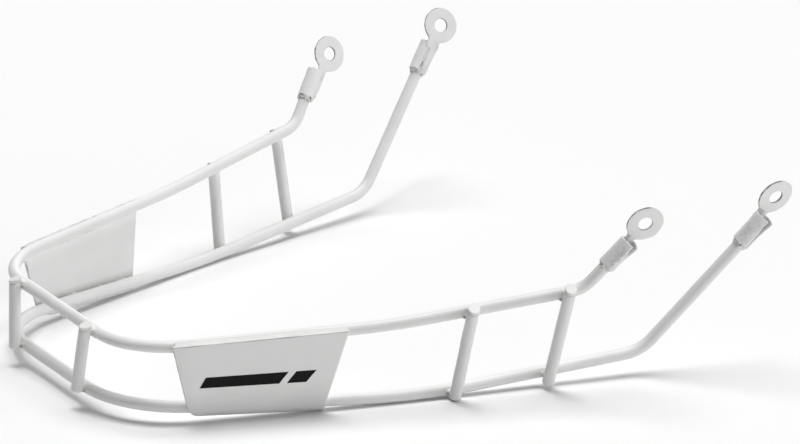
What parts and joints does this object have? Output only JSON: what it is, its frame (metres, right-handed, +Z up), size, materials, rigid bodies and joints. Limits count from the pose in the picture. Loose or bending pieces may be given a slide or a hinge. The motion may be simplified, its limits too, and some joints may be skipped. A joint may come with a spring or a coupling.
{
  "type": "helmet chin guard",
  "caption": "Welded rod cage that screws to a ski race helmet and stands round the chin, with curved cheek plates and folded ring terminals.",
  "frame": {"origin": "on the resting surface, under the middle of the guard's overall box", "axes": "+X towards the wearer's left, which is the mirror direction, -Y towards the chin, +Y towards the ears, +Z up as it lies on a table"},
  "size_m": [0.249, 0.243, 0.0707],
  "materials": {
    "coated_rod": "white powder coat, satin, slightly dimpled",
    "coated_sheet": "white powder coat on flat sheet, satin",
    "coated_weld": "white powder coat over rough weld",
    "black_print": "matt black printed stripe on the cheek plates"
  },
  "bodies": {
    "root": {"upper_rail": "coated_rod", "lower_rail": "coated_rod", "left_front_bar": "coated_rod", "right_front_bar": "coated_rod", "left_mid_bar": "coated_rod", "right_mid_bar": "coated_rod", "left_rear_bar": "coated_rod", "right_rear_bar": "coated_rod", "left_plate": "coated_sheet", "right_plate": "coated_sheet", "upper_left_terminal": "coated_sheet", "upper_right_terminal": "coated_sheet", "lower_left_terminal": "coated_sheet", "lower_right_terminal": "coated_sheet", "left_front_bar_welds": "coated_weld", "right_front_bar_welds": "coated_weld", "left_mid_bar_welds": "coated_weld", "right_mid_bar_welds": "coated_weld", "left_rear_bar_welds": "coated_weld", "right_rear_bar_welds": "coated_weld", "left_plate_welds": "coated_weld", "right_plate_welds": "coated_weld", "upper_left_terminal_weld": "coated_weld", "upper_right_terminal_weld": "coated_weld", "lower_left_terminal_weld": "coated_weld", "lower_right_terminal_weld": "coated_weld"}
  },
  "joints": []
}
